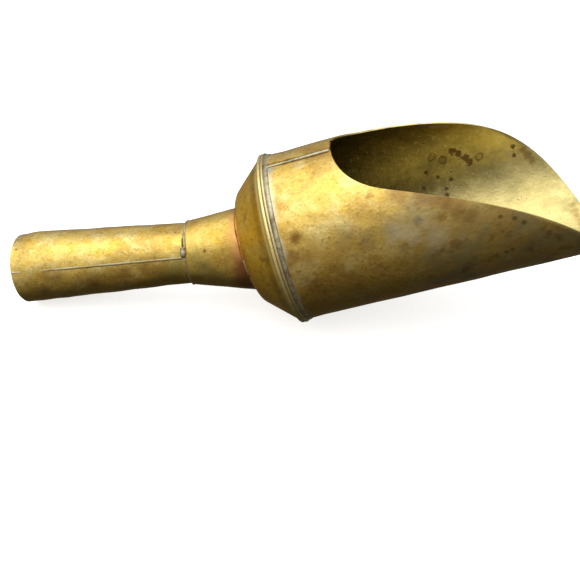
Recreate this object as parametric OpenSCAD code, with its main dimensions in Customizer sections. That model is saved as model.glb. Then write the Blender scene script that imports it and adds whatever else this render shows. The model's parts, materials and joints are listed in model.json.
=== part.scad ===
// Hand scoop of soldered sheet brass: a round barrel cut open into a trough-shaped blade,
// closed at the back by a dished cap that carries a tapered socket and a tapered tube handle.
//
// Bowl frame: X runs along the barrel from its rim (x = 0) toward the tip of the blade,
// Z points up through the middle of the mouth, Y is across. The scoop is then tipped back
// until it rests on its rim and on the end of its handle, as it lies when it is put down.

/* [Barrel] */
// Outside radius of the barrel and of the blade
barrel_r = 31.75; // [26:0.25:40]
// Thickness of the barrel's sheet
barrel_sheet = 0.75; // [0.5:0.05:1.4]
// Width of the lap where the sheet closes on itself along the top
lap_w = 6; // [4:0.5:9]
// How far the turned-out edge of the barrel stands above its wall
flange_out = 1; // [0.8:0.1:2]
// Width of that turned-out edge along the barrel
flange_w = 0.9; // [0.6:0.1:1.4]

/* [Mouth and blade] */
// From the rim to the back of the mouth, along the top
mouth_back = 25; // [18:1:34]
// From the back of the mouth to its shoulder, along the barrel
shoulder_run = 14; // [10:1:18]
// How far the shoulder lies below the top of the barrel
shoulder_drop = 7.5; // [5:0.5:10]
// From the rim to the tip of the blade, along the bottom
blade_reach = 115; // [95:1:140]
// Length of the nearly straight part of the side edge
side_run = 41; // [30:1:48]
// How much the side edge falls along that length
side_fall = 11.2; // [6:0.2:15]
// Length of the round nose of the blade
nose_run = 16; // [12:1:22]
// Height from which the nose curves down to the tip
nose_rise = 32.75; // [26:0.25:38]

/* [Back cap] */
// Depth of the cap behind the rim
cap_depth = 13.9; // [10:0.1:18]
// Thickness of the cap's sheet
cap_sheet = 0.9; // [0.6:0.1:1.4]
// Ledge of the cap's disc around the socket's foot, taken to the sharp corner
disc_ledge = 4.4; // [3.8:0.1:8]
// Radius of the rounded corner between disc and flared side
corner_round = 5; // [3:0.5:7]
// Width of the cap's rolled lip
lip_w = 1.4; // [1:0.1:2]
// How far the lip stands above the barrel's wall
lip_out = 0.9; // [0.8:0.1:2]

/* [Handle socket] */
// Outside radius of the socket's foot
foot_r = 16.4; // [14:0.1:18]
// Length of the socket along the handle
socket_len = 23.5; // [18:0.5:30]
// Thickness of the socket's sheet
socket_sheet = 0.6; // [0.5:0.1:1.2]
// Upward tilt of the handle against the barrel
handle_tilt = 11.5; // [0:0.5:25]

/* [Handle tube] */
// Outside radius of the tube where it leaves the socket
tube_r = 11.8; // [9:0.1:13]
// Outside radius of the tube at its end
tube_end_r = 13.7; // [11:0.1:16]
// Visible length of the tube
tube_len = 65; // [45:0.5:85]
// Thickness of the tube's sheet
tube_sheet = 0.9; // [0.5:0.1:1.4]
// How far the tube goes into the socket
tube_in = 6; // [3:0.5:10]
// Width of the tube's lap
tube_lap_w = 5; // [3:0.5:8]
// Thickness of the disc that closes the end of the tube
end_sheet = 0.9; // [0.6:0.1:1.4]

/* [Solder] */
// Width of the solder band behind the rim
band_w = 1.6; // [1:0.1:2.5]
// Width of the solder along the barrel's lap
seam_w = 1.3; // [0.8:0.1:2]
// Width of the solder round the socket's foot
foot_w = 1.4; // [0.8:0.1:2]
// Width of the solder ring where the tube enters the socket
joint_w = 0.9; // [0.6:0.1:1.5]
// Radius of the round pools of solder at the ends of the seams
pool_r = 2; // [1.5:0.1:2.5]

/* [Hidden] */
$fn = 288;

brass = "darkgoldenrod";
worn_brass = "goldenrod";
solder = "silver";

far = 60;                        // past every surface, for cutting blocks
tuck = 0.1;                      // overlap of shapes that are one sheet
neck_grip = 0.15;                // the socket's neck is this much tighter than the tube
pool_rise = 0.8;                 // height of a solder pool above its sheet
band_rise = 0.5;                 // height of the solder band against the turned-out edge
edge_bevel = 0.2;                // bevel of the lip and of the turned-out edge
bead_rise = 0.35;                // height of the thin solder beads
tube_seam_at = -59;              // angle of the tube's lap from its top, toward -Y
socket_seam_at = 120;            // angle of the socket's seam, on the +Y side
bead_turn = 6;                   // angle that a seam bead covers
blob_turn = 18;                  // angle that the blob at the end of the tube's lap covers
blob_rise = 0.3;                 // height of that blob above the neck

neck_r = tube_r + socket_sheet;              // outside radius of the socket's neck
disc_r = foot_r + disc_ledge;                // radius of the cap's disc at its sharp corner
socket_slope = (neck_r - foot_r) / socket_len;
tube_slope = (tube_end_r - tube_r) / tube_len;
handle_len = socket_len + tube_len;          // from the cap to the end of the tube
end_disc_back = handle_len - end_sheet;      // inner face of the end disc
end_bead_w = 1.2;                            // width of the solder behind the end disc
end_bead_r = tube_end_r - tube_sheet - (end_sheet + end_bead_w) * tube_slope;
lap_turn = lap_w / barrel_r * 180 / PI;
tube_lap_turn = tube_lap_w / tube_r * 180 / PI;
pool_ball = (pool_r * pool_r + pool_rise * pool_rise) / (2 * pool_rise);

// ---- curves ----
function bezier(p, t) =
    pow(1 - t, 3) * p[0] + 3 * pow(1 - t, 2) * t * p[1] + 3 * (1 - t) * t * t * p[2] + pow(t, 3) * p[3];
function bezier_points(p, steps) = [for (i = [0:steps]) bezier(p, i / steps)];

mouth_top = [mouth_back, barrel_r];
shoulder = mouth_top + [shoulder_run, -shoulder_drop];
tip = [blade_reach, -barrel_r];
side_dir = [side_run, -side_fall];
mouth_start = [mouth_back - 4, barrel_r + 5];
back_curve = [mouth_top, mouth_top + [2.5, -3.2], shoulder - side_dir * 0.15, shoulder];
side_curve = [shoulder, shoulder + side_dir, tip + [-nose_run, nose_rise], tip];
tip_end = tip + [nose_run, -nose_rise] * 0.2;

// ---- cap outline, as [radius, x], moved inward by inset ----
flare = atan2(barrel_r - disc_r, cap_depth - lip_w);     // slope of the flared side
corner_turn = 90 - flare;
corner_mid = [disc_r - corner_round * tan(corner_turn / 2), corner_round - cap_depth];
function cap_line(inset) = concat(
    [[0, inset - cap_depth]],
    [for (i = [0:8]) corner_mid + (corner_round - inset)
        * [sin(corner_turn * i / 8), -cos(corner_turn * i / 8)]],
    [[barrel_r, -lip_w] + inset * [-sin(corner_turn), cos(corner_turn)]]);
function flip(list) = [for (i = [len(list) - 1:-1:0]) list[i]];

// ---- resting pose ----
handle_dir = [-cos(handle_tilt), sin(handle_tilt)];
handle_up = [sin(handle_tilt), cos(handle_tilt)];
handle_end = [-cap_depth, 0] + handle_len * handle_dir;
heel = handle_end - tube_end_r * handle_up;              // lowest corner of the handle's end
rim_corners = [[-lip_w, edge_bevel - barrel_r - lip_out], [edge_bevel - lip_w, -barrel_r - lip_out],
               [-edge_bevel, -barrel_r - lip_out], [edge_bevel, -barrel_r - flange_out]];
rest_pitch = max([for (corner = rim_corners) -atan2((corner - heel)[1], (corner - heel)[0])]);
function pitched(p) = [p[0] * cos(rest_pitch) - p[1] * sin(rest_pitch),
                       p[0] * sin(rest_pitch) + p[1] * cos(rest_pitch)];
x_low = pitched(handle_end + tube_end_r * handle_up)[0];
x_high = pitched(tip)[0];
rest_shift = [-(x_low + x_high) / 2, 0, -pitched(heel)[1]];

module rest_pose() translate(rest_shift) rotate([0, -rest_pitch, 0]) children();
// turned shapes about the barrel: height becomes X, angle 0 is the top, growing toward -Y
module about_barrel() rotate([0, 90, 0]) rotate(180) children();
// turned shapes about the handle: height runs from the cap to its end, angle 0 is the top
module about_handle() translate([-cap_depth, 0, 0]) rotate([0, handle_tilt - 90, 0]) children();
module behind_cap() translate([-cap_depth - 2 * far, -far, -far]) cube(2 * far);

// ---- shared solids, which neighbours are cut against ----
module mouth_cut()
    translate([0, far, 0]) rotate([90, 0, 0]) linear_extrude(2 * far)
        polygon(concat([mouth_start], bezier_points(back_curve, 8), bezier_points(side_curve, 24),
                       [tip_end, [blade_reach + far, tip_end[1]],
                        [blade_reach + far, mouth_start[1]]]));
module barrel_solid(from = 0, to = blade_reach)
    about_barrel() translate([0, 0, from]) cylinder(r = barrel_r, h = to - from);
module barrel_lap()
    about_barrel() rotate(-lap_turn) rotate_extrude(angle = lap_turn)
        translate([barrel_r - tuck, flange_w - tuck])
            square([barrel_sheet + tuck, mouth_back + shoulder_run]);
module rim_edge(r_in, r_out, w)
    polygon([[r_in, 0], [r_out - edge_bevel, 0], [r_out, edge_bevel],
             [r_out, w - edge_bevel], [r_out - edge_bevel, w], [r_in, w]]);
module barrel_flange()
    about_barrel() rotate_extrude()
        rim_edge(barrel_r - barrel_sheet, barrel_r + flange_out, flange_w);
module band_ring()
    about_barrel() rotate_extrude()
        polygon([[barrel_r, flange_w], [barrel_r + band_rise, flange_w],
                 [barrel_r, flange_w + band_w]]);
// frustum of the handle, from one height to another, with its radius moved by grow
module socket_cone(grow = 0) {
    low = -foot_r * tan(handle_tilt) - 2;
    translate([0, 0, low])
        cylinder(h = socket_len - low, r1 = foot_r + low * socket_slope + grow, r2 = neck_r + grow);
}
module tube_cone(from, to, grow = 0)
    translate([0, 0, from])
        cylinder(h = to - from, r1 = tube_r + (from - socket_len) * tube_slope + grow,
                 r2 = tube_r + (to - socket_len) * tube_slope + grow);
module tube_lap()
    rotate(tube_seam_at) rotate_extrude(angle = tube_lap_turn)
        polygon([[tube_r - tuck, socket_len], [neck_r, socket_len],
                 [tube_end_r + socket_sheet, handle_len], [tube_end_r - tuck, handle_len]]);
// solder in the corner between the end of the socket's neck and the tube
module joint_fillet(w, rise)
    polygon([[tube_r, socket_len], [neck_r + rise, socket_len],
             [tube_r + w * tube_slope, socket_len + w]]);
module pool() translate([0, 0, pool_rise - pool_ball]) sphere(pool_ball);

// ---- the pieces ----
module bowl_sheet() color(worn_brass) rest_pose() {
    difference() {
        union() {
            barrel_solid(to = blade_reach + nose_run);
            barrel_lap();
            barrel_flange();
        }
        about_barrel() translate([0, 0, -1])
            cylinder(r = barrel_r - barrel_sheet, h = blade_reach + nose_run + 2);
        mouth_cut();
    }
}

module back_cap() color(brass) rest_pose()
    about_barrel() rotate_extrude() {
        polygon(concat(cap_line(0), flip(cap_line(cap_sheet))));
        translate([0, -lip_w])
            rim_edge(barrel_r - barrel_sheet, barrel_r + lip_out, lip_w);
    }

module handle_socket() color(brass) rest_pose()
    intersection() {
        about_handle() difference() {
            socket_cone();
            difference() {
                socket_cone(-socket_sheet - neck_grip);
                translate([0, 0, socket_len - tuck]) cylinder(r = tube_r - neck_grip, h = far);
            }
            tube_cone(socket_len - tube_in, handle_len);
        }
        behind_cap();
    }

module handle_tube() color(worn_brass) rest_pose()
    about_handle() difference() {
        union() {
            tube_cone(socket_len - tube_in, handle_len);
            tube_lap();
        }
        tube_cone(socket_len - tube_in - 1, handle_len + 1, -tube_sheet);
    }

module handle_end_cap() color(brass) rest_pose()
    about_handle()
        tube_cone(handle_len - end_sheet, handle_len, -tube_sheet);

module rim_solder() color(solder) rest_pose()
    difference() {
        band_ring();
        barrel_lap();
    }

module bowl_seam_solder() color(solder) rest_pose()
    difference() {
        union() {
            rotate([90, 0, 90]) linear_extrude(mouth_back + shoulder_run)
                polygon([[0, barrel_r - 1], [0, barrel_r + barrel_sheet],
                         [-seam_w, barrel_r - seam_w * seam_w / barrel_r], [-seam_w, barrel_r - 1]]);
            translate([flange_w + pool_r, -pool_r / 2, barrel_r]) pool();
        }
        barrel_solid(from = -1);
        band_ring();
        barrel_lap();
        translate([-far + flange_w + tuck, -far, 0]) cube([far, 2 * far, far]);
        mouth_cut();
    }

module socket_foot_solder() color(solder) rest_pose()
    intersection() {
        about_handle() difference() {
            intersection() {
                socket_cone(foot_w);
                translate([0, 0, -foot_r * tan(handle_tilt) - 2])
                    cylinder(r = foot_r * 2, h = foot_r);
            }
            socket_cone();
        }
        translate([-cap_depth - foot_w, -far, -far]) cube([foot_w, 2 * far, 2 * far]);
    }

module socket_seam_solder() color(solder) rest_pose()
    difference() {
        intersection() {
            about_handle() rotate(socket_seam_at) rotate_extrude(angle = bead_turn)
                polygon([[foot_r - tuck, 0], [foot_r + bead_rise, 0],
                         [neck_r + bead_rise, socket_len], [neck_r - tuck, socket_len]]);
            translate([-foot_w, 0, 0]) behind_cap();
        }
        about_handle() socket_cone();
    }

module handle_joint_solder() color(solder) rest_pose()
    about_handle() {
        rotate(tube_seam_at + tube_lap_turn)
            rotate_extrude(angle = 360 - tube_lap_turn - blob_turn / 2)
            joint_fillet(joint_w, 0);
        rotate(tube_seam_at - blob_turn) rotate_extrude(angle = blob_turn)
            joint_fillet(pool_r, blob_rise);
    }

module handle_seam_solder() color(solder) rest_pose()
    about_handle() difference() {
        rotate(tube_seam_at - bead_turn) rotate_extrude(angle = bead_turn)
            polygon([[tube_r - tuck, socket_len], [tube_r + bead_rise, socket_len],
                     [tube_end_r + bead_rise, handle_len], [tube_end_r - tuck, handle_len]]);
        tube_cone(socket_len - tube_in, handle_len);
        translate([0, 0, socket_len - 1]) cylinder(r = neck_r + pool_r, h = 1 + pool_r);
    }

module end_cap_solder() color(solder) rest_pose()
    about_handle() difference() {
        tube_cone(end_disc_back - end_bead_w, end_disc_back, -tube_sheet);
        translate([0, 0, end_disc_back - end_bead_w])
            cylinder(h = end_bead_w, r1 = end_bead_r, r2 = end_bead_r - end_bead_w);
    }

bowl_sheet();
back_cap();
handle_socket();
handle_tube();
handle_end_cap();
rim_solder();
bowl_seam_solder();
socket_foot_solder();
socket_seam_solder();
handle_joint_solder();
handle_seam_solder();
end_cap_solder();
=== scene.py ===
"""Hand scoop of soldered sheet brass, lying on the edge of its rim and the end of its handle."""

import json
import math

import bpy
import numpy as np
from mathutils import Matrix, Vector, noise


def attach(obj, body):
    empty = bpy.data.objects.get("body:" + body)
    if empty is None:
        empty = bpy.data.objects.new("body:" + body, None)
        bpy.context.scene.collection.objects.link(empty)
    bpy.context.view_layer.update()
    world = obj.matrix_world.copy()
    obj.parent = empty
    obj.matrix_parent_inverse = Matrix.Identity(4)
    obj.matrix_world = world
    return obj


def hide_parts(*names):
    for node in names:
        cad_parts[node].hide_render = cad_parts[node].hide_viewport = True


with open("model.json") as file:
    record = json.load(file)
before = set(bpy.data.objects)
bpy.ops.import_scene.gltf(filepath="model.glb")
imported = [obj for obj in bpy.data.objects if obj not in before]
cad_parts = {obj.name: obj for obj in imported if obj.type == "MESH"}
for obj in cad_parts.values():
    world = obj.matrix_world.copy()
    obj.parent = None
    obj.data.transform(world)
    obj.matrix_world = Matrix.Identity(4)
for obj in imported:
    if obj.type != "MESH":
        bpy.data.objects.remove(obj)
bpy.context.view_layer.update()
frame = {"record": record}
scene = bpy.context.scene

# ---- How the scoop lies, and the camera ----
# The scoop is one stiff soldered piece that lies tipped back on two corners. Its own axes are
# used below, in millimetres: X along the barrel from its rim, Y across, Z up through the mouth.
MM = 0.001
handle_tilt = math.radians(11.5)
cap_depth = 13.9
socket_len = 23.5
tube_len = 65
handle_len = socket_len + tube_len
handle_dir = Vector((-math.cos(handle_tilt), 0, math.sin(handle_tilt)))
handle_up = Vector((math.sin(handle_tilt), 0, math.cos(handle_tilt)))
handle_foot = Vector((-cap_depth, 0, 0))

mount = frame["record"]["mounts"][0]
tip_back = Matrix.Rotation(-(handle_tilt - math.asin(mount["axis"][2])), 4, "Y")
end_face = (handle_foot + handle_len * handle_dir) * MM
to_row = Matrix.Translation(Vector(mount["pos_m"]) - tip_back @ end_face) @ tip_back


def at(x, y, z):
    """A place given in the scoop's millimetres, in metres and as the scoop lies."""
    return to_row @ (Vector((x, y, z)) * MM)


camera_aim = Vector((-6.2, 0, -25.66)) * MM
camera_distance = 247.5 * MM
camera_azimuth = math.radians(12.46)
camera_elevation = math.radians(39.91)
camera_roll = math.radians(-21.67)
back = Vector((math.sin(camera_azimuth) * math.cos(camera_elevation),
               -math.cos(camera_azimuth) * math.cos(camera_elevation),
               math.sin(camera_elevation)))
level = (-back).cross(Vector((0, 0, 1))).normalized()
upright = level.cross(-back)
right = math.cos(camera_roll) * level + math.sin(camera_roll) * upright
up = math.cos(camera_roll) * upright - math.sin(camera_roll) * level
camera_turn = Matrix((right, up, back)).transposed().to_4x4()
camera = bpy.data.objects.new("camera", bpy.data.cameras.new("camera"))
camera.data.lens = 37.41
camera.data.sensor_width = 36
camera.data.clip_start = 0.01
camera.matrix_world = to_row @ Matrix.Translation(camera_aim + back * camera_distance) @ camera_turn
scene.collection.objects.link(camera)
scene.camera = camera

# ---- Bowl: one sheet rolled into a barrel, cut open into a trough ----
# A single sheet of brass, rolled until its edges lap along the top, turned outward round the
# rim and cut to the curve of the mouth with snips. It is worn bright outside, and browned inside by
# stains and by painted shade.
barrel_r = 31.75
bowl_sheet = 0.75
lap_w = 6
lap_gap = 0.02
lap_fade = 5
# past this angle the sheet is under its own outer end, and starts behind the turned-out rim
under_from = 360.3
mouth_back = Vector((25, barrel_r))
back_dir = Vector((2.5, -3.2))
shoulder = Vector((39, 24.25))
side_dir = Vector((41, -11.2))
blade_tip = Vector((115, -barrel_r))
nose = Vector((-16, 32.75))
bowl_columns = 430
bowl_rows = 56
mouth_steps = 200
lap_turn = math.degrees(lap_w / barrel_r)
dent_depth = 0.16
dent_size = 14
wrinkle_depth = 0.06
wrinkle_size = 5
# drawn in a little, so that the highest dents stay within the barrel's true size
drawn_in = 0.18
# how far along the barrel and how far off its wall, for the rolled edge and the cut edge
outer_rim = ((0.45, 0.98), (0.78, 0.85), (0.9, 0.6), (0.93, 0.3), (1.05, 0.08), (1.4, 0))
inner_rim = ((0.36, 0.97), (0.08, 0.8), (0, 0.45), (0.03, -0.2), (0.25, -0.6), (1.4, -0.75))
under_outer = ((2.9, -0.3), (2.92, -0.15), (2.97, -0.05), (3.05, -0.01), (3.2, 0), (3.5, 0))
under_inner = ((2.9, -0.45), (2.92, -0.6), (2.97, -0.7), (3.05, -0.74), (3.2, -0.75), (3.5, -0.75))
cut_outer = ((-0.25, 0), (-0.07, -0.07), (0, -0.25))
cut_inner = ((-0.25, -0.75), (-0.07, -0.68), (0, -0.5))


def bezier(a, b, c, d, steps):
    t = np.linspace(0, 1, steps)[:, None]
    a, b, c, d = (np.array(point) for point in (a, b, c, d))
    return (1 - t) ** 3 * a + 3 * (1 - t) ** 2 * t * b + 3 * (1 - t) * t * t * c + t ** 3 * d


def ease(low, high, value):
    t = np.clip((value - low) / (high - low), 0, 1)
    return t * t * (3 - 2 * t)


def ripple(points, size, seed):
    """Smooth noise from -1 to 1 at points in millimetres, with lumps of the given size."""
    return np.array([noise.noise(Vector(p) / size + Vector((seed, 0, 0))) for p in points])


back_edge = bezier(mouth_back, mouth_back + back_dir, shoulder - 0.15 * side_dir, shoulder,
                   mouth_steps)
side_edge = bezier(shoulder, shoulder + side_dir, blade_tip + nose, blade_tip, mouth_steps)
mouth = np.vstack((back_edge, side_edge[1:]))
mouth_angle = np.degrees(np.arccos(np.clip(mouth[:, 1] / barrel_r, -1, 1)))


def bowl_line(turn):
    """One line of the bowl from rim to cut edge and back inside, as (x, height off the wall)."""
    from_top = turn % 360
    reach = np.interp(min(from_top, 360 - from_top), mouth_angle, mouth[:, 0])
    under = turn > under_from
    outer, inner = (under_outer, under_inner) if under else (outer_rim, inner_rim)
    along = np.linspace(outer[-1][0], reach + cut_outer[0][0], bowl_rows + 2)[1:-1]
    out_line = list(outer) + [(x, 0) for x in along] + [(reach + x, h) for x, h in cut_outer]
    in_line = list(inner) + [(x, -bowl_sheet) for x in along]
    in_line += [(reach + x, h) for x, h in cut_inner]
    line = np.array(out_line + in_line[::-1])
    rise = (bowl_sheet + lap_gap) * (1 - ease(lap_turn, lap_turn + lap_fade, turn))
    line[:, 1] += rise * ease(0.9, 2.7, line[:, 0])
    return line


def shell(name, grid, smooth_angle=35, turned=False):
    """A closed shell from columns of points. A rolled sheet's columns go out along one face and
    back along the other, and its two ends get quads across. A turned shape's columns start and
    end on its axis, and its last column meets its first."""
    columns, loop = grid.shape[:2]
    half = loop // 2
    faces = []
    for c in range(columns if turned else columns - 1):
        for i in range(loop - 1 if turned else loop):
            here, there = c * loop, (c + 1) % columns * loop
            j = (i + 1) % loop
            faces.append((here + i, here + j, there + j, there + i))
    last = (columns - 1) * loop
    for i in range(0 if turned else half - 1):
        faces.append((i, loop - 1 - i, loop - 2 - i, i + 1))
        faces.append((last + i, last + i + 1, last + loop - 2 - i, last + loop - 1 - i))
    return solid(name, grid.reshape(-1, 3), faces, smooth_angle)


def solid(name, points, faces, smooth_angle=35):
    """An object from points in the scoop's own millimetres, put in its place as it lies."""
    mesh = bpy.data.meshes.new(name)
    mesh.from_pydata(points.tolist(), [], faces)
    mesh.transform(to_row @ Matrix.Scale(MM, 4))
    made = bpy.data.objects.new(name, mesh)
    scene.collection.objects.link(made)
    finish_faces(made, smooth_angle)
    return made


def finish_faces(made, smooth_angle=35):
    bpy.context.view_layer.objects.active = made
    bpy.ops.object.select_all(action="DESELECT")
    made.select_set(True)
    bpy.ops.object.mode_set(mode="EDIT")
    bpy.ops.mesh.select_all(action="SELECT")
    bpy.ops.mesh.remove_doubles(threshold=1e-7)
    bpy.ops.mesh.normals_make_consistent(inside=False)
    bpy.ops.object.mode_set(mode="OBJECT")
    made.data.shade_smooth()
    made.data.set_sharp_from_angle(angle=math.radians(smooth_angle))


turns = np.linspace(0, 360 + lap_turn, bowl_columns)
turns = np.sort(np.append(turns, (under_from - 0.05, under_from + 0.05)))
lines = np.array([bowl_line(turn) for turn in turns])
bowl_angle = np.radians(turns)[:, None]
wall = np.stack(np.broadcast_arrays(lines[..., 0], barrel_r * np.sin(bowl_angle),
                                    barrel_r * np.cos(bowl_angle)), -1)
dents = (dent_depth * ripple(wall.reshape(-1, 3), dent_size, 3)
         + wrinkle_depth * ripple(wall.reshape(-1, 3), wrinkle_size, 8)).reshape(lines.shape[:2])
clear_of_rim = ease(2, 9, lines[..., 0])
bowl_radius = barrel_r + lines[..., 1] + dents * clear_of_rim - drawn_in * clear_of_rim
bowl_grid = np.stack((lines[..., 0], bowl_radius * np.sin(bowl_angle),
                      bowl_radius * np.cos(bowl_angle)), -1)
bowl = shell("rolled_bowl", bowl_grid)


class Wire:
    """A socket in a node tree. Arithmetic on it adds Math nodes, and node() adds any other."""

    def __init__(self, tree, socket=None):
        self.tree = tree
        self.socket = socket

    def node(self, kind, settings=None, inputs=None, out=0):
        made = self.tree.nodes.new(kind)
        for name, value in (settings or {}).items():
            if name == "stops":
                fill_ramp(made.color_ramp, value)
            else:
                setattr(made, name, value)
        for name, value in (inputs or {}).items():
            if isinstance(value, Wire):
                self.tree.links.new(value.socket, made.inputs[name])
            else:
                made.inputs[name].default_value = value
        return Wire(self.tree, made.outputs[out] if made.outputs else None)

    def math(self, operation, *values):
        return self.node("ShaderNodeMath", {"operation": operation}, dict(enumerate(values)))

    def __add__(self, other):
        return self.math("ADD", self, other)

    def __sub__(self, other):
        return self.math("SUBTRACT", self, other)

    def __rsub__(self, other):
        return self.math("SUBTRACT", other, self)

    def __mul__(self, other):
        return self.math("MULTIPLY", self, other)

    __radd__ = __add__
    __rmul__ = __mul__


def fill_ramp(ramp, stops):
    while len(ramp.elements) < len(stops):
        ramp.elements.new(0.5)
    for element, (position, colour) in zip(ramp.elements, stops):
        element.position = position
        element.color = colour


def tone(red, green, blue):
    """A colour given as 0 to 255, as linear light."""
    def linear(value):
        value = value / 255
        return value / 12.92 if value <= 0.04045 else ((value + 0.055) / 1.055) ** 2.4
    return (linear(red), linear(green), linear(blue), 1)


class Finish:
    """The finish of one kind of sheet: colours laid over each other by masks, then its shader."""

    def __init__(self, name, colour, roughness, metallic=1.0):
        self.material = bpy.data.materials.new(name)
        self.material.use_nodes = True
        self.tree = self.material.node_tree
        self.tree.nodes.clear()
        self.wire = Wire(self.tree)
        self.place = self.wire.node("ShaderNodeTexCoord", out="Object")
        self.colour = colour
        self.roughness = roughness
        self.metallic = metallic
        self.height = None

    def grain(self, size, detail=3, seed=0, run=None, stretch=1, rough=0.5):
        """Noise from 0 to 1 with lumps of a size in millimetres, drawn out along a direction."""
        where = self.place
        if run:
            turned = Vector((1, 0, 0)).rotation_difference(run).to_euler()
            where = self.wire.node("ShaderNodeMapping", {"vector_type": "TEXTURE"}, {
                "Vector": where, "Rotation": turned, "Scale": (stretch, 1, 1)})
        shifted = self.wire.node("ShaderNodeVectorMath", {"operation": "ADD"},
                                 {0: where, 1: (seed * 0.37, seed * 0.11, seed * 0.23)})
        return self.wire.node("ShaderNodeTexNoise", {}, {
            "Vector": shifted, "Scale": 1 / (size * MM), "Detail": detail, "Roughness": rough})

    def band(self, value, low, high):
        """0 below low, 1 above high, or turned round when low is over high."""
        return self.wire.node("ShaderNodeMapRange", {"interpolation_type": "SMOOTHSTEP"}, {
            "Value": value, "From Min": low, "From Max": high})

    def spots(self, places, radius, soft=0.5, ragged=0.35, ring=False):
        """A mask over round marks at places in the scoop's millimetres, with ragged edges."""
        nearest = None
        for spot in places:
            gap = self.wire.node("ShaderNodeVectorMath", {"operation": "DISTANCE"},
                                 {0: self.place, 1: at(*spot)}, "Value")
            nearest = gap if nearest is None else nearest.math("MINIMUM", nearest, gap)
        rough_edge = (self.grain(radius * 0.9, 2, radius) - 0.5) * (2 * ragged)
        edge = nearest * (1 / (radius * MM)) + rough_edge
        mask = self.band(edge, 1, 1 - soft)
        if ring:
            mask = mask - 0.75 * self.band(edge, 0.75, 0.4)
        return mask

    def lay(self, colour, mask, roughness=None):
        self.colour = self.wire.node("ShaderNodeMix", {"data_type": "RGBA"},
                                     {0: mask, 6: self.colour, 7: colour}, 2)
        if roughness is not None:
            self.roughness = self.wire.node("ShaderNodeMix", {"data_type": "FLOAT"},
                                            {0: mask, 2: self.roughness, 3: roughness}, 0)

    def shade(self, by, low):
        """Darkens the colour by a mask: full at 1 and low at 0."""
        dim = by * (1 - low) + low
        self.colour = self.wire.node("ShaderNodeVectorMath", {"operation": "SCALE"},
                                     {0: self.colour, "Scale": dim})

    def raise_by(self, mask, millimetres):
        step = mask * millimetres
        self.height = step if self.height is None else self.height + step

    def reach(self, start, way):
        """How far the surface lies from a point along a direction."""
        gap = self.wire.node("ShaderNodeVectorMath", {"operation": "SUBTRACT"},
                             {0: self.place, 1: start})
        return self.wire.node("ShaderNodeVectorMath", {"operation": "DOT_PRODUCT"},
                              {0: gap, 1: way}, "Value")

    def done(self, **more):
        settings = {"Base Color": self.colour, "Roughness": self.roughness,
                    "Metallic": self.metallic}
        settings.update({name.replace("_", " ").title(): value for name, value in more.items()})
        if self.height is not None:
            settings["Normal"] = self.wire.node("ShaderNodeBump", {}, {
                "Height": self.height, "Distance": MM, "Strength": 1.0})
        shader = self.wire.node("ShaderNodeBsdfPrincipled", {}, settings)
        self.wire.node("ShaderNodeOutputMaterial", {}, {"Surface": shader})
        return self.material


brass_bright = tone(240, 218, 146)
brass_plain = tone(230, 196, 104)
brass_dull = tone(192, 154, 80)
brass_gold = tone(224, 180, 62)
brass_brown = tone(134, 94, 40)
brass_tarnish = tone(78, 52, 24)
centre = at(0, 0, 0)
along = (at(1, 0, 0) - centre).normalized()


def sheet_brass(name, plain, dull, bright, roughness, run=along, stains=1.0, gold=1.0):
    """Rolled sheet, handled for years: cloudy and golden in patches, speckled, pitted and
    drawn with fine scratches along the way that it was rolled."""
    made = Finish(name, plain, roughness)
    made.lay(dull, made.band(made.grain(17, 4, 1), 0.44, 0.66) * 0.9, roughness + 0.06)
    made.lay(bright, made.band(made.grain(8, 4, 2), 0.48, 0.68) * 0.7)
    made.lay(brass_gold, made.band(made.grain(6, 4, 11), 0.5, 0.7) * (0.6 * gold))
    clouds = made.band(made.grain(4.5, 5, 5, rough=0.64), 0.56, 0.74)
    made.lay(brass_brown, clouds * (0.5 * stains))
    speckle = made.band(made.grain(1.0, 4, 4, rough=0.6), 0.52, 0.68)
    made.lay(brass_brown, speckle * (0.42 * stains))
    made.lay(bright, made.band(made.grain(1.3, 3, 14), 0.55, 0.7) * 0.4)
    tarnish = made.band(made.grain(1.7, 3, 8), 0.69, 0.77)
    made.lay(brass_tarnish, tarnish * (0.6 * stains), roughness + 0.1)
    made.lay(brass_brown, made.band(made.grain(0.35, 3, 15, run, 5), 0.45, 0.8) * 0.3)
    made.raise_by(made.grain(9, 3, 6), 0.32)
    made.raise_by(made.grain(2.6, 3, 7), 0.12)
    made.raise_by(made.grain(0.9, 3, 9), 0.045)
    made.raise_by(made.grain(0.4, 2, 16, run, 8), 0.012)
    return made


def round_wall(x, degrees, off=0.0):
    """A place on the barrel's wall, by its angle from the top toward +Y."""
    radius = barrel_r + off
    return (x, radius * math.sin(math.radians(degrees)), radius * math.cos(math.radians(degrees)))


def stain(finish, off, colour, places, radius, soft, strength, ragged=0.35, ring=False,
          roughness=None):
    """Marks on the barrel's sheet, at places given as (x, degrees from the top toward +Y). Their
    edges go from hard to blurred as soft goes from 0 to 1, and wander more as ragged grows."""
    marks = finish.spots([round_wall(x, turn, off) for x, turn in places], radius, soft, ragged,
                         ring)
    finish.lay(colour, marks * strength, roughness)


outside = sheet_brass("worn_brass_outside", brass_plain, brass_dull, brass_bright, 0.3, gold=0.6)
rim_gap = outside.reach(centre, along)
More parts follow.
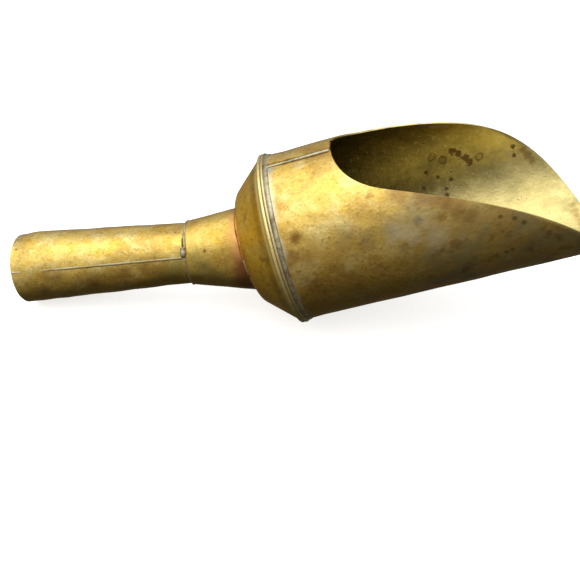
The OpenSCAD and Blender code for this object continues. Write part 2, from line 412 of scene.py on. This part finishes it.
# the blade has gone olive and grey where flour and damp lie against it, the barrel less so
blade = outside.band(rim_gap + (outside.grain(14, 3, 18) - 0.5) * 0.03, 0.034, 0.052)
outside.lay(tone(206, 180, 114), blade * 0.55, 0.36)
outside.lay(tone(182, 174, 130), blade * outside.band(outside.grain(11, 4, 19), 0.46, 0.6) * 0.6)
browned = outside.band(outside.grain(7, 5, 20, rough=0.6), 0.54, 0.66)
outside.lay(brass_brown, blade * browned * 0.5)
grey_bloom = tone(150, 140, 110)
painted_sheen_tone = tone(232, 220, 182)
stain(outside, 0, tone(150, 112, 64), ((43, -44), (50, -48), (58, -52)), 7, 0.9, 0.75)
# painted sheen: a pale, glossier patch low on the near wall
stain(outside, 0, painted_sheen_tone, ((40, -66), (46, -71), (51, -76)), 6, 1.0, 0.6, 0.8, roughness=0.3)
stain(outside, 0, brass_brown, ((7.6, -55),), 3.2, 0.9, 0.85)
stain(outside, 0, brass_brown, ((5, -66), (10, -70)), 4, 1.0, 0.4)
stain(outside, 0, brass_brown, ((53.7, -54), (57, -59), (60, -63), (63, -67.5)), 4.5, 0.9, 0.55)
stain(outside, 0, brass_tarnish, ((72.3, -73), (76.4, -76), (79, -80)), 1.2, 0.7, 0.6)
stain(outside, 0, brass_tarnish, ((73, -99), (75, -98)), 1.4, 0.8, 0.5)
stain(outside, 0, brass_bright, ((73.8, -106), (45, -97)), 2, 0.8, 0.6)
stain(outside, 0, grey_bloom, ((47, -63.5),), 2.2, 0.6, 0.6)
stain(outside, 0, tone(150, 140, 104), ((24, -62), (30, -66), (38, -64)), 6, 1.0, 0.35)
# a wash of solder on the rolled edge, and the round pool that it left at the lap's corner
wash = outside.band(rim_gap + (outside.grain(5, 4, 17) - 0.5) * 0.006, 0.0042, 0.0018)
outside.lay(tone(226, 220, 190), wash * 0.6, 0.34)
stain(outside, 0, tone(196, 196, 178), ((2.8, -3.2), (3.4, -5.5)), 1.7, 0.6, 0.9, 0.2,
      roughness=0.36)
bowl.data.materials.append(outside.done())

inside = sheet_brass("brown_brass_inside", tone(222, 204, 134), tone(184, 172, 112),
                     tone(232, 218, 150), 0.34, stains=0.35, gold=0.15)
# painted shade and reflection: darker up the walls and toward the barrel, brighter low toward the
# tip
into_light = inside.reach(centre, (at(0.6, 0, -1) - centre) / MM)
painted_reflection_shade = inside.band(into_light + (inside.grain(12, 4, 22) - 0.5) * 0.03, 0.011, 0.095)
inside.shade(painted_reflection_shade, 0.36)
# painted shade: a dark olive patch high on the far inner wall
stain(inside, -1, tone(112, 100, 56), ((62, 50), (72, 57), (82, 65), (91, 75)), 10, 1.0, 0.75, 0.5)
stain(inside, -1, brass_tarnish, ((61.5, 92), (66, 97), (80, 102)), 2.1, 0.4, 0.75, 0.8,
      ring=True, roughness=0.5)
stain(inside, -1, tone(92, 58, 30), ((70.5, 91.5), (72.5, 95), (75, 99.5), (76, 103)), 2.1, 0.45,
      0.8, 1.0, roughness=0.5)
stain(inside, -1, brass_tarnish, ((58.5, 103), (62.9, 109), (67.8, 113), (56.5, 114.5), (65, 119.5),
                                  (64.9, 124), (93.6, 101), (93.6, 107.5)), 1.15, 0.5, 0.8, 0.7,
      roughness=0.5)
stain(inside, -1, brass_brown, ((97, 105.5), (98.6, 110), (100, 114.5)), 2.6, 0.8, 0.6, 0.8)
stain(inside, -1, brass_brown, [(110.5, 156 + 4.5 * i) for i in range(5)], 2.4, 0.9, 0.5, 0.7)
# small pits eaten by damp, each with a bright burr round it
pitting = inside.grain(2.6, 3, 13, rough=0.6)
pits = inside.band(pitting, 0.66, 0.71)
inside.lay(tone(236, 222, 170), inside.band(pitting, 0.62, 0.66) * 0.35)
inside.lay(brass_tarnish, pits * 0.65, 0.5)
inside.raise_by(pits, -0.05)
bowl.data.materials.append(inside.done())

# the cut edge is bare metal, painted paler still as an edge highlight
cut_edge = Finish("cut_edge", tone(244, 226, 160), 0.32)
cut_edge.lay(brass_dull, cut_edge.band(cut_edge.grain(5, 4, 23), 0.5, 0.7) * 0.7)
cut_edge.raise_by(cut_edge.grain(0.8, 2, 24), 0.05)
bowl.data.materials.append(cut_edge.done())
cut_edge_w = 0.12
from_row = to_row.inverted()
for face in bowl.data.polygons:
    spot = from_row @ face.center / MM
    outward = (from_row.to_3x3() @ face.normal).dot(Vector((0, spot.y, spot.z)))
    turn_here = math.degrees(math.acos(spot.z / math.hypot(spot.y, spot.z)))
    reach_here = np.interp(turn_here, mouth_angle, mouth[:, 0])
    if spot.x > reach_here - cut_edge_w:
        face.material_index = 2
    else:
        face.material_index = 1 if outward < 0 else 0
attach(bowl, "root")
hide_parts("bowl_sheet")

# ---- Back cap: a pressed dish ----
# A dish pressed from brass sheet that closes the barrel. Its flared side ends in a rolled lip
# that the barrel's turned edge is soldered against. It is darker than the rest.
cap_sheet = 0.9
disc_r = 20.8
corner_round = 5
lip_w = 1.4
cap_columns = 288
flare = math.atan2(barrel_r - disc_r, cap_depth - lip_w)
corner_turn = math.pi / 2 - flare
corner_mid = Vector((corner_round - cap_depth,
                     disc_r - corner_round * math.tan(corner_turn / 2)))
cap_dent_depth = 0.14
cap_dent_size = 11


def cap_profile(inset):
    """Radius and x from the middle of the disc, round its corner and out along the flare."""
    points = [(inset - cap_depth, r) for r in np.linspace(0, corner_mid.y, 12)[:-1]]
    for i in range(11):
        a = corner_turn * i / 10
        points.append((corner_mid.x - (corner_round - inset) * math.cos(a),
                       corner_mid.y + (corner_round - inset) * math.sin(a)))
    into_sheet = Vector((math.cos(corner_turn), -math.sin(corner_turn)))
    end = Vector((-lip_w, barrel_r)) + inset * into_sheet
    start = Vector(points[-1])
    return points + [tuple(start.lerp(end, i / 12)) for i in range(1, 12)]


# the lip, as x and height off the barrel's wall: a cove, then a half-round roll above the wall
lip_outer = ((-1.75, -0.62), (-1.5, -0.25), (-1.38, 0.3), (-1.32, 0.62), (-1.1, 0.84),
             (-0.75, 0.88), (-0.4, 0.84), (-0.12, 0.6), (-0.04, 0.3))
lip_inner = ((-1.6, -1.7), (-0.9, -1.1), (-0.5, -0.85), (-0.2, -0.8), (-0.1, -0.75),
             (-0.06, -0.6), (-0.05, -0.4), (-0.04, -0.2), (-0.04, 0))
lip_front, lip_back = ([(x, barrel_r + h) for x, h in side] for side in (lip_outer, lip_inner))
cap_loop = np.array(cap_profile(0) + lip_front + (cap_profile(cap_sheet) + lip_back)[::-1])
cap_angle = np.arange(cap_columns)[:, None] * 2 * math.pi / cap_columns
cap_grid = np.stack(np.broadcast_arrays(cap_loop[:, 0], cap_loop[:, 1] * np.sin(cap_angle),
                                        cap_loop[:, 1] * np.cos(cap_angle)), -1)
cap_dents = np.abs(cap_dent_depth * ripple(cap_grid.reshape(-1, 3), cap_dent_size, 21))
cap_dents = cap_dents.reshape(cap_grid.shape[:2])
cap_grid[..., 0] += cap_dents * ease(-1.9, -4, cap_loop[:, 0]) * ease(19, 22, cap_loop[:, 1])
cap = shell("back_dish", cap_grid, 40, turned=True)

dish = sheet_brass("dark_brass_dish", tone(246, 204, 76), tone(226, 178, 52),
                   tone(248, 216, 110), 0.34, stains=1.1)
off_axis = dish.wire.node("ShaderNodeVectorMath", {"operation": "CROSS_PRODUCT"}, {
    0: dish.wire.node("ShaderNodeVectorMath", {"operation": "SUBTRACT"},
                      {0: dish.place, 1: centre}),
    1: along})
from_axis = dish.wire.node("ShaderNodeVectorMath", {"operation": "LENGTH"}, {0: off_axis}, "Value")
# painted highlight: the rolled lip is laid pale in patches
lip_highlight_mask = dish.band(from_axis, (barrel_r - 1.6) * MM, (barrel_r - 0.3) * MM)
dish.lay(tone(240, 226, 160), lip_highlight_mask * (dish.grain(6, 3, 31) * 0.8 + 0.45), 0.3)
# painted shade: the cove inside the lip is darkened in patches
cove_shade_mask = dish.band(from_axis, (barrel_r - 4) * MM, (barrel_r - 2.4) * MM) - lip_highlight_mask
dish.lay(brass_tarnish, cove_shade_mask * (dish.grain(5, 3, 33) * 0.8) * 0.8)
dish.lay(brass_tarnish, dish.spots([(-13.5, -16, -9), (-13.7, -17.5, -6)], 2.6, 0.8) * 0.7)
cap.data.materials.append(dish.done())
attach(cap, "root")
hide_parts("back_cap")

# ---- Handle: socket and tube ----
# Two cones rolled from brass sheet. The socket's foot is soldered to the dish, and the tube is
# pushed into its narrow end. Each sheet laps on itself along one soldered seam.
foot_r = 16.4
neck_r = 12.4
tube_r = 11.8
tube_end_r = 13.7
tube_in = 6
# how much the tube narrows for each millimetre inside the socket
tube_taper = 0.03
# the lap begins just outside the socket and stands at its full height this much further on
lap_start_w = 0.8
tube_sheet = 0.9
socket_sheet = 0.6
tube_seam = -59
socket_seam = 120
tube_lap_w = 5
tube_lap = tube_lap_w / tube_r
# the outer end of a lapped sheet comes down to the sheet below it over this turn, in radians
tube_lap_fade = 0.7
sheet_columns = 230
sheet_rows = 100


def new_tree(name, sizes):
    tree = bpy.data.node_groups.new(name, "GeometryNodeTree")
    for label, kind in sizes.items():
        tree.interface.new_socket(label, in_out="INPUT", socket_type="NodeSocket" + kind)
    tree.interface.new_socket("Geometry", in_out="OUTPUT", socket_type="NodeSocketGeometry")
    wire = Wire(tree)
    group = tree.nodes.new("NodeGroupInput")
    given = {label: Wire(tree, group.outputs[label]) for label in sizes}
    return tree, wire, given


def grow(name, tree, first_mesh, **sizes):
    """Runs a tree on a first mesh with the given sizes, and keeps the result as a plain mesh."""
    made = bpy.data.objects.new(name, first_mesh)
    scene.collection.objects.link(made)
    modifier = made.modifiers.new("grow", "NODES")
    modifier.node_group = tree
    for item in tree.interface.items_tree:
        label = item.name.lower().replace(" ", "_")
        if item.in_out == "INPUT" and label in sizes:
            modifier[item.identifier] = sizes[label]
    made.update_tag()
    shape = made.evaluated_get(bpy.context.evaluated_depsgraph_get())
    made.data = bpy.data.meshes.new_from_object(shape)
    made.modifiers.remove(modifier)
    return made


# The tree rolls a flat grid up round the handle's axis, in metres: Z runs along the handle, X to
# its top. It then gives the sheet its thickness.
rolled, wire, size = new_tree("rolled sheet", {
    "Geometry": "Geometry", "Foot Radius": "Float", "End Radius": "Float", "Foot Tilt": "Float",
    "Start": "Float", "End": "Float", "Seam": "Float", "Lap": "Float", "Sheet": "Float",
    "Lap From": "Float", "Tuck": "Float", "Dent Depth": "Float", "Dent Size": "Float",
    "Knock": "Float", "Seed": "Float", "Material": "Material"})
grid = wire.node("GeometryNodeMeshGrid", {}, {
    "Size X": 1, "Size Y": 1, "Vertices X": sheet_columns, "Vertices Y": sheet_rows})
flat = wire.node("GeometryNodeInputPosition")
share_round = wire.node("ShaderNodeSeparateXYZ", {}, {0: flat}, "X") + 0.5
share_up = wire.node("ShaderNodeSeparateXYZ", {}, {0: flat}, "Y") + 0.5
swept = share_round * (size["Lap"] + 2 * math.pi)
turn = swept + size["Seam"]
over = wire.node("ShaderNodeMapRange", {"interpolation_type": "SMOOTHSTEP"}, {
    "Value": swept, "From Min": size["Lap"] + tube_lap_fade, "From Max": size["Lap"]})
cosine = wire.math("COSINE", turn)
sine = wire.math("SINE", turn)
start = size["Start"] + cosine * wire.math("TANGENT", size["Foot Tilt"]) * size["Foot Radius"]
height = start + (size["End"] - start) * share_up
share = wire.math("DIVIDE", height - size["Start"], size["End"] - size["Start"])
radius = size["Foot Radius"] + (size["End Radius"] - size["Foot Radius"]) * share
clear = wire.node("ShaderNodeMapRange", {"interpolation_type": "SMOOTHSTEP"}, {
    "Value": height, "From Min": size["Lap From"], "From Max": size["Lap From"] + lap_start_w * MM})
# toward the end of the handle the lap was hammered nearly flush
flush = wire.node("ShaderNodeMapRange", {"interpolation_type": "SMOOTHSTEP"}, {
    "Value": share, "From Min": 0.5, "From Max": 0.98, "To Max": 0.8})
standing = over * clear * (1 - flush) * (size["Sheet"] + lap_gap * MM)
radius = radius + standing - (1 - clear) * size["Tuck"]
smooth = wire.node("ShaderNodeCombineXYZ", {}, {
    "X": cosine * radius, "Y": sine * radius, "Z": height})
outward = wire.node("ShaderNodeCombineXYZ", {}, {"X": cosine, "Y": sine})
lumps = wire.node("ShaderNodeTexNoise", {"noise_dimensions": "4D"}, {
    "Vector": smooth, "W": size["Seed"], "Scale": wire.math("DIVIDE", 1, size["Dent Size"]),
    "Detail": 1.5})
near_end = wire.node("ShaderNodeMapRange", {"interpolation_type": "SMOOTHSTEP"}, {
    "Value": share, "From Min": 0.9, "From Max": 1.0})
near_top = wire.node("ShaderNodeMapRange", {"interpolation_type": "SMOOTHSTEP"}, {
    "Value": cosine, "From Min": 0.2, "From Max": 1.0})
push = (lumps - 0.68) * size["Dent Depth"] - near_end * near_top * size["Knock"]
dented = wire.node("ShaderNodeVectorMath", {"operation": "MULTIPLY_ADD"},
                   {0: outward, 1: wire.node("ShaderNodeCombineXYZ", {}, {"X": push, "Y": push}),
                    2: smooth})
# the way out is stored before the grid is bent, because it is worked out from the flat grid
marked = wire.node("GeometryNodeStoreNamedAttribute", {"data_type": "FLOAT_VECTOR"},
                   {"Geometry": grid, "Name": "outward", "Value": outward})
skin = wire.node("GeometryNodeSetPosition", {}, {"Geometry": marked, "Position": dented})
stored = wire.node("GeometryNodeInputNamedAttribute", {"data_type": "FLOAT_VECTOR"},
                   {"Name": "outward"})
thick = wire.node("GeometryNodeExtrudeMesh", {"mode": "FACES"}, {
    "Mesh": skin, "Individual": False, "Offset Scale": 1.0,
    "Offset": wire.node("ShaderNodeVectorMath", {"operation": "SCALE"},
                        {0: stored, "Scale": size["Sheet"] * -1})})
both = wire.node("GeometryNodeJoinGeometry", {}, {0: skin})
both.tree.links.new(thick.socket, both.socket.node.inputs[0])
closed = wire.node("GeometryNodeMergeByDistance", {}, {"Geometry": both, "Distance": 1e-6})
bare = wire.node("GeometryNodeRemoveAttribute", {}, {"Geometry": closed, "Name": "outward"})
real = wire.node("GeometryNodeRealizeInstances", {}, {"Geometry": bare})
dressed = wire.node("GeometryNodeSetMaterial", {}, {"Geometry": real, "Material": size["Material"]})
wire.node("NodeGroupOutput", {}, {"Geometry": dressed})

handle_turn = Matrix((handle_up, (0, 1, 0), handle_dir)).transposed().to_4x4()
handle_place = to_row @ Matrix.Translation(handle_foot * MM) @ handle_turn


def on_handle(radius, degrees, along_it):
    """A place on the handle in the scoop's millimetres, by its angle from the top toward +Y."""
    a = math.radians(degrees)
    return tuple(handle_foot + handle_dir * along_it + handle_up * radius * math.cos(a)
                 + Vector((0, radius * math.sin(a), 0)))


def handle_piece(name, body_slot, **sizes):
    made = grow(name, rolled, bpy.data.meshes.new(name), **sizes)
    made.data.transform(handle_place)
    finish_faces(made, 40)
    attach(made, "root")
    return made


def handle_stain(finish, colour, off_axis, places, radius, soft, strength, ragged=0.35):
    """Marks on the handle, at places given as (degrees from the top, distance along)."""
    spots = [on_handle(off_axis, turn, s) for turn, s in places]
    finish.lay(colour, finish.spots(spots, radius, soft, ragged) * strength)


brass_olive = tone(168, 160, 92)
socket_finish = sheet_brass("socket_brass", tone(234, 200, 106), tone(200, 164, 78),
                            tone(240, 218, 136), 0.3, gold=0.8)
handle_stain(socket_finish, brass_olive, 14, ((-62, 19), (-78, 17), (-92, 14), (-100, 20)), 6.5,
             1.0, 0.6, 0.5)
# the flame that soldered the foot turned the sheet next to it to copper, and scorched it below
handle_axis = (at(*(handle_foot + handle_dir)) - at(*handle_foot)).normalized()
from_foot = socket_finish.reach(at(*handle_foot), handle_axis)
copper = socket_finish.band(from_foot + (socket_finish.grain(5, 3, 41) - 0.5) * 0.009,
                            0.0095, 0.003)
socket_finish.lay(tone(214, 150, 96), copper * 0.8)
handle_stain(socket_finish, tone(150, 92, 60), 16,
             [(turn, 2.5 - 0.04 * (turn + 100)) for turn in (-75, -88, -100, -112)], 5.5, 0.9,
             0.75, 0.3)
handle_stain(socket_finish, brass_tarnish, 13.4, ((-52, 16),), 1.1, 0.7, 0.7)
socket_piece = handle_piece(
    "socket_cone", "socket_brass", foot_radius=foot_r * MM, end_radius=neck_r * MM,
    foot_tilt=handle_tilt, start=-0.1 * MM, end=socket_len * MM, seam=math.radians(socket_seam),
    lap=0.0, sheet=socket_sheet * MM, dent_depth=0.5 * MM, dent_size=9 * MM, seed=4.0,
    material=socket_finish.done())
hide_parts("handle_socket")

tube_finish = sheet_brass("tube_brass", tone(236, 204, 112), tone(198, 164, 82),
                          tone(244, 224, 150), 0.28)
handle_stain(tube_finish, brass_olive, 12, ((-68, 27), (-80, 28), (-95, 31)), 6, 1.0, 0.6, 0.5)
handle_stain(tube_finish, brass_brown, 12.6, ((-72, 40), (-78, 46), (-74, 72), (-66, 76),
                                              (-92, 60), (-100, 78)), 5, 1.0, 0.5, 0.6)
handle_stain(tube_finish, brass_tarnish, tube_r, ((-12, 27), (-20, 29.5), (-30, 26.5), (-8, 33)),
             0.7, 0.6, 0.7)
tube_piece = handle_piece(
    "tube_handle", "tube_brass", foot_radius=(tube_r - tube_in * tube_taper) * MM,
    end_radius=tube_end_r * MM, start=(socket_len - tube_in) * MM, end=handle_len * MM,
    seam=math.radians(tube_seam), lap=tube_lap, lap_from=(socket_len + 0.1) * MM, tuck=0.25 * MM,
    sheet=tube_sheet * MM, dent_depth=0.7 * MM, dent_size=10 * MM, knock=0.9 * MM, seed=7.0,
    material=tube_finish.done())
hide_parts("handle_tube")

# ---- End disc ----
# A disc of the tube's own brass closes the handle. It is cut from sheet, slightly dished, set
# just inside the tube's end and soldered from behind.
end_sheet = 0.9
end_knock = 0.8
disc_columns = 144
# how far back from the tube's end and how far off its axis, across the face and back behind it
disc_face = [(0.35, r) for r in np.linspace(0, 9, 10)]
disc_rim = [(0.22, 10.9), (0.08, 12.0), (0.08, 12.5), (0.3, 12.72), (end_sheet, 12.7)]
disc_back = [(end_sheet, r) for r in np.linspace(11, 0, 10)]
disc_line = np.array([(handle_len - behind, r) for behind, r in disc_face + disc_rim + disc_back])
disc_angle = np.arange(disc_columns)[:, None] * 2 * math.pi / disc_columns
disc_local = np.stack(np.broadcast_arrays(disc_line[:, 1] * np.cos(disc_angle),
                                          disc_line[:, 1] * np.sin(disc_angle),
                                          disc_line[:, 0]), -1)
# the knock that pushed the tube's corner in has pushed the disc's edge in with it
knocked = ease(8, 12, disc_line[:, 1]) * ease(0.2, 1, np.cos(disc_angle))
disc_local[..., 0] -= end_knock * knocked
disc_dents = 0.35 * np.abs(ripple(disc_local.reshape(-1, 3), 8, 51))
disc_local[..., 2] -= disc_dents.reshape(knocked.shape)
to_scoop = np.array(Matrix.Translation(handle_foot) @ handle_turn)
disc_grid = disc_local @ to_scoop[:3, :3].T + to_scoop[:3, 3]
end_disc = shell("tube_end_disc", disc_grid, 40, turned=True)
end_disc.data.materials.append(tube_finish.material)
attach(end_disc, "root")
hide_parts("handle_end_cap")

# ---- Solder ----
# Soft solder, grey and uneven, run along every seam with an iron and wiped while still hot.
# Each run is a line along its seam that a tree swells into a low bead.
bead, wire, size = new_tree("solder bead", {
    "Geometry": "Geometry", "Width": "Float", "Rise": "Float", "Wander": "Float",
    "Lump Size": "Float", "Seed": "Float", "Material": "Material"})
line = wire.node("GeometryNodeMeshToCurve", {}, {"Mesh": size["Geometry"]})
outward = wire.node("GeometryNodeInputNamedAttribute", {"data_type": "FLOAT_VECTOR"},
                    {"Name": "outward"})
line = wire.node("GeometryNodeSetCurveNormal", {"mode": "FREE"}, {"Curve": line, "Normal": outward})
swell = wire.node("ShaderNodeTexNoise", {"noise_dimensions": "4D"}, {
    "Vector": wire.node("GeometryNodeInputPosition"), "W": size["Seed"],
    "Scale": wire.math("DIVIDE", 1, size["Lump Size"]), "Detail": 2})
swollen = (swell - 0.5) * size["Wander"] * 2 + 1
line = wire.node("GeometryNodeSetCurveRadius", {}, {"Curve": line, "Radius": swollen})
profile = wire.node("GeometryNodeTransform", {}, {
    "Geometry": wire.node("GeometryNodeCurvePrimitiveCircle", {}, {"Resolution": 12, "Radius": 1}),
    "Scale": wire.node("ShaderNodeCombineXYZ", {}, {
        "X": size["Rise"], "Y": size["Width"] * 0.5, "Z": 1})})
body = wire.node("GeometryNodeCurveToMesh", {}, {
    "Curve": line, "Profile Curve": profile, "Fill Caps": True, "Scale": swollen})
real = wire.node("GeometryNodeRealizeInstances", {}, {"Geometry": body})
dressed = wire.node("GeometryNodeSetMaterial", {}, {"Geometry": real, "Material": size["Material"]})
wire.node("NodeGroupOutput", {}, {"Geometry": dressed})

solder = Finish("soft_solder", tone(186, 180, 152), 0.42)
solder.lay(tone(122, 108, 76), solder.band(solder.grain(3, 4, 61), 0.45, 0.7) * 0.8, 0.55)
solder.lay(tone(226, 220, 196), solder.band(solder.grain(1.4, 3, 62), 0.55, 0.72) * 0.6, 0.32)
solder.raise_by(solder.grain(1.1, 3, 63), 0.08)
solder_finish = solder.done()


def solder_run(name, node, points, outs, width, rise, wander, lump, seed, loop=False,
               finish=solder_finish):
    """A run of solder along points, with the ways that its surface faces there, in millimetres."""
    mesh = bpy.data.meshes.new(name)
    edges = [(i, i + 1) for i in range(len(points) - 1)]
    if loop:
        edges.append((len(points) - 1, 0))
    mesh.from_pydata([tuple(at(*p)) for p in points], edges, [])
    faces_out = mesh.attributes.new("outward", "FLOAT_VECTOR", "POINT")
    turned = [to_row.to_3x3() @ Vector(o) for o in outs]
    faces_out.data.foreach_set("vector", [c for o in turned for c in o])
    made = grow(name, bead, mesh, width=width * MM, rise=rise * MM, wander=wander,
                lump_size=lump * MM, seed=seed, material=finish)
    finish_faces(made, 60)
    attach(made, "root")
    if node:
        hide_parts(node)
    return made


def barrel_run(turns_at, x_at, off):
    points = [round_wall(x, turn, off) for turn, x in zip(turns_at, x_at)]
    outs = [(0, math.sin(math.radians(turn)), math.cos(math.radians(turn))) for turn in turns_at]
    return points, outs


ring = np.arange(0, 360, 1.0)
rim_x = [1.75] * len(ring)
solder_run("rim_solder_run", "rim_solder", *barrel_run(ring, rim_x, 0.0), width=1.7, rise=0.42,
           wander=0.3, lump=5, seed=2, loop=True)
seam_x = np.linspace(2, 24.5, 90)
seam_turn = [-1.1] * len(seam_x)
solder_run("bowl_seam_run", "bowl_seam_solder", *barrel_run(seam_turn, seam_x, 0.02), width=1.3,
           rise=0.45, wander=0.4, lump=3.5, seed=3)


def handle_run(places):
    """Points and outward ways from (radius, degrees from the top, distance along) in the handle."""
    points = [on_handle(*place) for place in places]
    outs = [Vector(on_handle(1, turn, 0)) - handle_foot for _, turn, _ in places]
    return points, outs


def foot_at(turn, radius):
    return radius * math.cos(math.radians(turn)) * math.tan(handle_tilt)


def socket_radius(s):
    return foot_r + (neck_r - foot_r) * s / socket_len


def tube_radius(s):
    return tube_r + (tube_end_r - tube_r) * (s - socket_len) / tube_len


foot_ring = [(foot_r + 0.15, turn, foot_at(turn, foot_r) + 0.35) for turn in ring]
# the fillet round the foot is scorched to the colour of the sheets, with bare solder in two places
scorch = Finish("scorched_solder", tone(200, 146, 80), 0.4)
scorch.lay(tone(140, 84, 50), scorch.band(scorch.grain(4, 3, 65), 0.45, 0.65) * 0.8)
bare = [on_handle(foot_r, turn, foot_at(turn, foot_r) + 0.5)
        for turn in (-70, -74, -78, -82, -86, -95, -99)]
scorch.lay(tone(236, 226, 206), scorch.spots(bare, 1.1, 0.5, 0.3), 0.3)
scorch.raise_by(scorch.grain(1.2, 3, 66), 0.1)
solder_run("foot_solder_run", "socket_foot_solder", *handle_run(foot_ring), width=1.9, rise=0.6,
           wander=0.45, lump=6, seed=4, loop=True, finish=scorch.done())
socket_line = [(socket_radius(s) - 0.05, socket_seam, s)
               for s in np.linspace(foot_at(socket_seam, foot_r) + 1, socket_len - 0.5, 60)]
solder_run("socket_seam_run", "socket_seam_solder", *handle_run(socket_line), width=1.3, rise=0.3,
           wander=0.3, lump=3, seed=5)


def lap_rise(turn):
    """How far the outer end of the tube's sheet stands above the rest of it, at an angle."""
    swept_here = math.radians((turn - tube_seam) % 360)
    return (tube_sheet + lap_gap) * (1 - ease(tube_lap, tube_lap + tube_lap_fade, swept_here))


joint_ring = [(max(neck_r - 0.3, tube_r + lap_rise(turn) - 0.1), turn, socket_len + 0.1)
              for turn in np.arange(tube_seam + 0.5, tube_seam + 359.5, 1.0)]
solder_run("joint_run", "handle_joint_solder", *handle_run(joint_ring), width=0.8, rise=0.45,
           wander=0.5, lump=4, seed=6)
# the drop that was left where the tube's lap runs into the joint
blob = [(tube_r + 0.95 * lap_rise(max(turn, tube_seam)) * ease(-62, -56, turn) + 0.05, turn,
         socket_len + 0.75) for turn in np.linspace(-64, -44, 24)]
solder_run("joint_blob", None, *handle_run(blob), width=2.1, rise=0.75, wander=0.45, lump=2.5,
           seed=8)
# this thin run of solder is painted pale cream with patches of brass gold: partly its own colour,
# partly a painted highlight along the lap's edge
seam_solder_highlight = Finish("brassy_solder", tone(252, 242, 200), 0.24)
seam_solder_highlight.lay(brass_gold, seam_solder_highlight.band(seam_solder_highlight.grain(6, 3, 67), 0.52, 0.66) * 0.6)
seam_solder_highlight.raise_by(seam_solder_highlight.grain(1.5, 3, 68), 0.1)
tube_line = [(tube_radius(s) - 0.05 - 0.7 * ease(62, 80, s), tube_seam - 1, s)
             for s in np.linspace(socket_len + 1.5, handle_len - 0.6, 150)]
solder_run("tube_seam_run", "handle_seam_solder", *handle_run(tube_line), width=1.5, rise=0.62,
           wander=0.35, lump=4, seed=9, finish=seam_solder_highlight.done())
end_ring = [(tube_end_r - tube_sheet - 0.45, turn, handle_len - end_sheet - 0.2) for turn in ring]
solder_run("end_disc_run", "end_cap_solder", *handle_run(end_ring), width=1.0, rise=0.5,
           wander=0.3, lump=4, seed=10, loop=True)

# ---- Floor and light ----
# A pale bench top, and a bright sky of soft light overhead that darkens toward the floor.
floor_mesh = bpy.data.meshes.new("bench")
floor_half = 3
floor_mesh.from_pydata([(-floor_half, -floor_half, 0), (floor_half, -floor_half, 0),
                        (floor_half, floor_half, 0), (-floor_half, floor_half, 0)], [],
                       [(0, 1, 2, 3)])
floor = bpy.data.objects.new("bench", floor_mesh)
scene.collection.objects.link(floor)
bench = Finish("pale_bench", (0.8, 0.8, 0.8, 1), 0.9, 0.0)
floor_mesh.materials.append(bench.done(emission_color=(1, 1, 1, 1), emission_strength=0.7))
floor.visible_glossy = False

world = bpy.data.worlds.new("soft room")
scene.world = world
world.use_nodes = True
world.node_tree.nodes.clear()
sky = Wire(world.node_tree)
looking = sky.node("ShaderNodeTexCoord", out="Generated")
elevation = sky.node("ShaderNodeSeparateXYZ", {}, {0: looking}, "Z") * 0.5 + 0.5


def glow(degrees, level, warmth):
    """A stop of the sky's ramp: how bright it is at an elevation."""
    return (0.5 + 0.5 * math.sin(math.radians(degrees)),
            (level, level * (1 - 0.12 * warmth), level * (1 - 0.35 * warmth), 1))


sky_ramp = sky.node("ShaderNodeValToRGB", {"stops": (
    glow(-90, 0.035, 1), glow(-60, 0.06, 1), glow(-38, 0.14, 1), glow(-15, 0.25, 1),
    glow(2, 0.38, 0.6), glow(20, 0.5, 0.3), glow(35, 0.76, 0.1), glow(50, 1.2, 0),
    glow(62, 1.75, 0), glow(90, 1.85, 0))}, {0: elevation})
# the room is brighter on the handle's side
side_gain = 1 - 0.5 * sky.node("ShaderNodeSeparateXYZ", {}, {0: looking}, "X")
room = sky.node("ShaderNodeBackground", {}, {"Color": sky_ramp, "Strength": side_gain})
pale_wall = sky.node("ShaderNodeBackground", {}, {"Color": (0.86, 0.86, 0.86, 1), "Strength": 1.0})
seen = sky.node("ShaderNodeMixShader", {}, {
    0: sky.node("ShaderNodeLightPath", out="Is Camera Ray"), 1: room, 2: pale_wall})
sky.node("ShaderNodeOutputWorld", {}, {"Surface": seen})

scene.view_settings.view_transform = "Standard"
